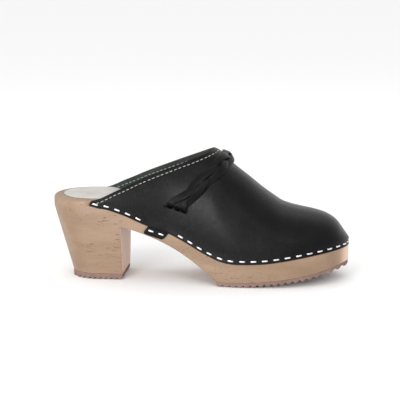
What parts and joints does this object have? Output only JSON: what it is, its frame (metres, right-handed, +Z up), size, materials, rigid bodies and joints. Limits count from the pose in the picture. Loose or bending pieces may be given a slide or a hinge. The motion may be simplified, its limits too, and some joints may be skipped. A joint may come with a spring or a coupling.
{
  "type": "heeled wooden clog",
  "caption": "Heeled wooden clog for the right foot: one-piece leather mule upper stapled round a carved wooden sole, plaited instep strap, ridged rubber treads.",
  "frame": {"origin": "middle of the shoe's box, on the ground under the sole", "axes": "+X from the heel to the toe, +Y to the inner side of the foot, +Z up"},
  "size_m": [0.2512, 0.0894, 0.11],
  "materials": {
    "pale_wood": "fine-sanded, thin matt lacquer",
    "tread_rubber": "matt, moulded ridges",
    "black_leather": "smooth grain, soft polish",
    "facing_leather": "matt flesh side, dark green-grey",
    "staple_steel": "bright drawn wire",
    "label": "off-white coated sheet",
    "stiffener": "fibrous board",
    "seam_thread": "off-white twisted thread"
  },
  "bodies": {
    "root": {"forefoot_tread": "tread_rubber", "heel_lift": "tread_rubber", "insole_label": "label", "sole_block": "pale_wood", "staple_inner_01": "staple_steel", "staple_inner_02": "staple_steel", "staple_inner_03": "staple_steel", "staple_inner_04": "staple_steel", "staple_inner_05": "staple_steel", "staple_inner_06": "staple_steel", "staple_inner_07": "staple_steel", "staple_inner_08": "staple_steel", "staple_inner_09": "staple_steel", "staple_inner_10": "staple_steel", "staple_inner_11": "staple_steel", "staple_inner_12": "staple_steel", "staple_inner_13": "staple_steel", "staple_inner_14": "staple_steel", "staple_inner_15": "staple_steel", "staple_inner_16": "staple_steel", "staple_inner_17": "staple_steel", "staple_inner_18": "staple_steel", "staple_outer_01": "staple_steel", "staple_outer_02": "staple_steel", "staple_outer_03": "staple_steel", "staple_outer_04": "staple_steel", "staple_outer_05": "staple_steel", "staple_outer_06": "staple_steel", "staple_outer_07": "staple_steel", "staple_outer_08": "staple_steel", "staple_outer_09": "staple_steel", "staple_outer_10": "staple_steel", "staple_outer_11": "staple_steel", "staple_outer_12": "staple_steel", "staple_outer_13": "staple_steel", "staple_outer_14": "staple_steel", "staple_outer_15": "staple_steel", "staple_outer_16": "staple_steel", "staple_outer_17": "staple_steel", "staple_outer_18": "staple_steel", "staple_outer_19": "staple_steel", "staple_outer_20": "staple_steel", "staple_outer_21": "staple_steel", "staple_outer_22": "staple_steel", "staple_outer_23": "staple_steel", "staple_strap_inner_1": "staple_steel", "staple_strap_inner_2": "staple_steel", "staple_strap_outer_1": "staple_steel", "staple_strap_outer_2": "staple_steel", "strap_strand_1": "black_leather", "strap_strand_2": "black_leather", "strap_strand_3": "black_leather", "strap_tail_inner": "black_leather", "strap_tail_outer": "black_leather", "toe_puff": "stiffener", "topline_facing": "facing_leather", "upper": "black_leather"}
  },
  "joints": []
}
